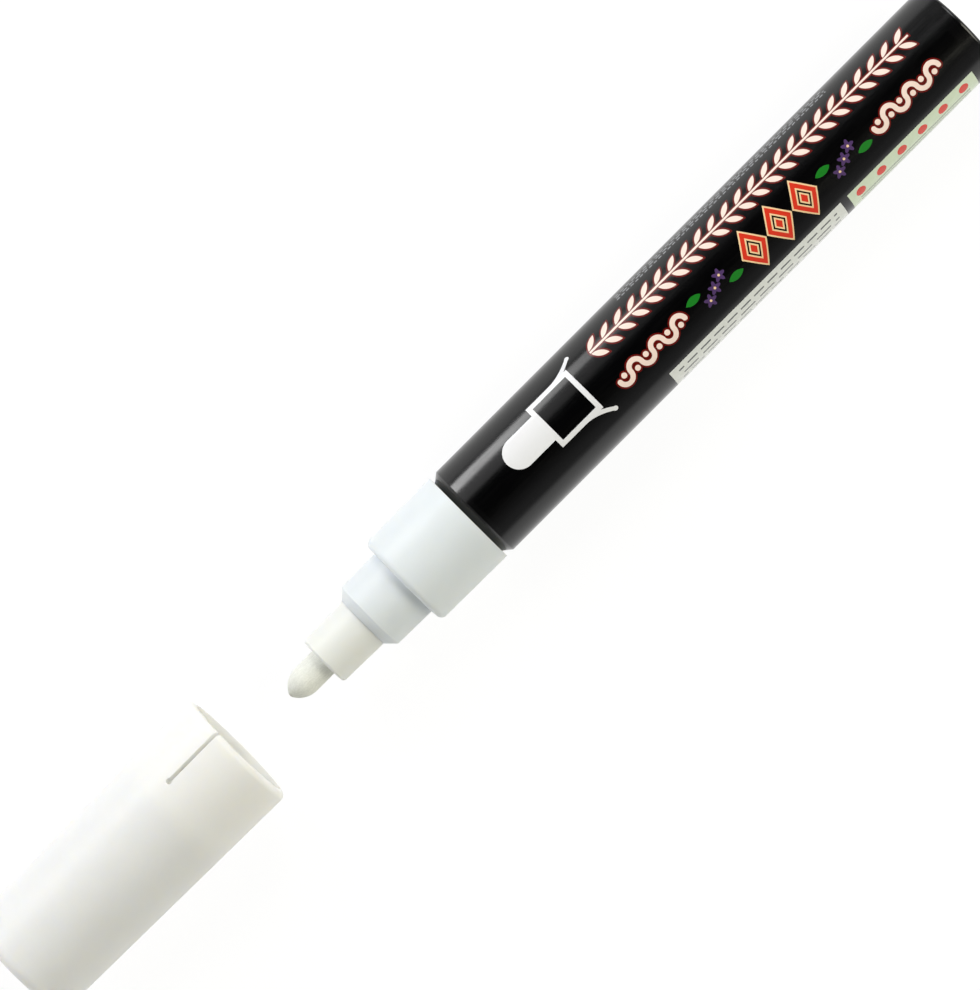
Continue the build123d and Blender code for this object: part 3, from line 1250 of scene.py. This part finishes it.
@dataclass
class Studio:
    """Floor, light and camera.

    Attributes:
        axis: The middle of the marker's axis.
        horizon: Light from the horizon.
        ambient: Light from above it, all round.
        overhead: Light from straight above.
        floor_size: Side of the floor, in metres.
        floor_white: The floor's colour, as a screen shows it.
        floor_glow: How brightly the floor is seen.
        floor_share: How much of that hides its own shading.
        far: The camera's distance above the axis, in metres.
        sensor: Height of the camera's sensor, in millimetres.
        lens: Its focal length, in millimetres.
        aim: Where the camera is over the axis, in metres.
        roll: How far the marker's axis is turned in the picture, in degrees.
    """

    axis: Vector
    horizon: float = 0.85
    ambient: float = 0.26
    overhead: float = 0.0
    floor_size: float = 6.0
    floor_white: ScreenColour = (244, 244, 244)
    floor_glow: float = 1.06
    floor_share: float = 0.86
    far: float = 0.735
    sensor: float = 36.0
    lens: float = 192.4
    aim: tuple[float, float] = (0.4 * MM, 0.05 * MM)
    roll: float = 45.0

    def lay_floor(self) -> None:
        """Lays a white floor that stays white in the picture and still takes shadows."""
        bpy.ops.object.select_all(action="DESELECT")
        bpy.ops.mesh.primitive_plane_add(size=self.floor_size, location=(0, 0, 0))
        floor = bpy.context.active_object
        floor.name = "studio_floor"
        bench = Bench("floor white")
        bench.set(Base_Color=screen_colour(*self.floor_white), Roughness=0.9, Specular_IOR_Level=0.0)
        rays = bench.add("ShaderNodeLightPath").outputs
        white = bench.add("ShaderNodeEmission")
        white.inputs["Strength"].default_value = self.floor_glow
        mix = bench.add("ShaderNodeMixShader")
        seen = bench.calc("MAXIMUM", rays["Is Camera Ray"], rays["Is Glossy Ray"])
        seen = bench.calc("MAXIMUM", seen, rays["Is Transmission Ray"])
        bench.feed(mix.inputs["Fac"], bench.calc("MULTIPLY", seen, self.floor_share))
        bench.feed(mix.inputs[1], bench.shader.outputs["BSDF"])
        bench.feed(mix.inputs[2], white.outputs["Emission"])
        bench.feed(bench.tree.nodes["Material Output"].inputs["Surface"], mix.outputs["Shader"])
        floor.data.materials.append(bench.material)

    def light(self) -> None:
        """Hangs the lamps, in a room that is white at the horizon and dimmer overhead."""
        warm = (255, 252, 234)
        for lamp in (
            Softbox("key_light", turn=90.0, rise=24.0, size=(0.19, 0.23), power=1.48, along=-0.065, far=0.62),
            Softbox("spill_light", turn=90.0, rise=50.0, size=(0.19, 0.3), power=0.2, along=-0.065, far=0.62),
            Softbox("tail_light", turn=46.0, rise=40.0, size=(0.3, 0.4), power=1.72),
            Softbox("cap_light", turn=148.0, rise=26.0, size=(0.3, 0.4), power=1.15),
            Softbox("back_light", turn=-29.0, rise=42.0, size=(0.6, 0.45), power=3.7, tint=warm),
            Softbox("front_light", turn=212.0, rise=42.0, size=(0.6, 0.45), power=0.9, tint=warm),
        ):
            lamp.hang(self.axis.z)
        world = bpy.data.worlds.new("white room")
        bpy.context.scene.world = world
        world.use_nodes = True
        nodes, links = world.node_tree.nodes, world.node_tree.links
        direction = nodes.new("ShaderNodeSeparateXYZ")
        links.new(nodes.new("ShaderNodeTexCoord").outputs["Generated"], direction.inputs[0])
        level = nodes.new("ShaderNodeValToRGB")
        links.new(direction.outputs["Z"], level.inputs["Fac"])
        glow_top, clear, dimming, top = 0.02, 0.12, 0.4, 0.9
        shades = (
            (glow_top, self.horizon),
            (clear, self.ambient),
            (dimming, self.ambient),
            (top, self.overhead),
        )
        stops = level.color_ramp.elements
        for place, _ in shades[1:-1]:
            stops.new(place)
        for stop, (place, shade) in zip(stops, shades):
            stop.position = place
            stop.color = (shade, shade, shade, 1.0)
        links.new(level.outputs["Color"], nodes["Background"].inputs["Color"])

    def set_camera(self) -> None:
        """Hangs the camera straight above, turned so that the axis runs from corner to corner."""
        lens = bpy.data.cameras.new("top_camera")
        lens.sensor_fit = "VERTICAL"
        lens.sensor_height = self.sensor
        lens.lens = self.lens
        camera = bpy.data.objects.new("top_camera", lens)
        camera.location = (self.aim[0], self.aim[1], self.axis.z + self.far)
        camera.rotation_euler = (0, 0, -math.radians(self.roll))
        bpy.context.scene.collection.objects.link(camera)
        bpy.context.scene.camera = camera

    def set_up(self) -> None:
        """Sets up the floor, the light and the camera."""
        self.lay_floor()
        self.light()
        self.set_camera()
        bpy.context.scene.view_settings.view_transform = "Standard"


def main() -> None:
    """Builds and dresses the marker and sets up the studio."""
    logging.basicConfig(level=logging.INFO, format="%(name)s: %(message)s")
    Barrel(Round.of("barrel"), Round.of("label_film")).dress()
    FrontEnd(Round.of("nib")).dress()
    PumpValve(Round.of("valve_spring")).dress()
    Cap().dress()
    Studio(Vector((0, 0, Round.of("barrel").height))).set_up()


if __name__ == "__main__":
    main()
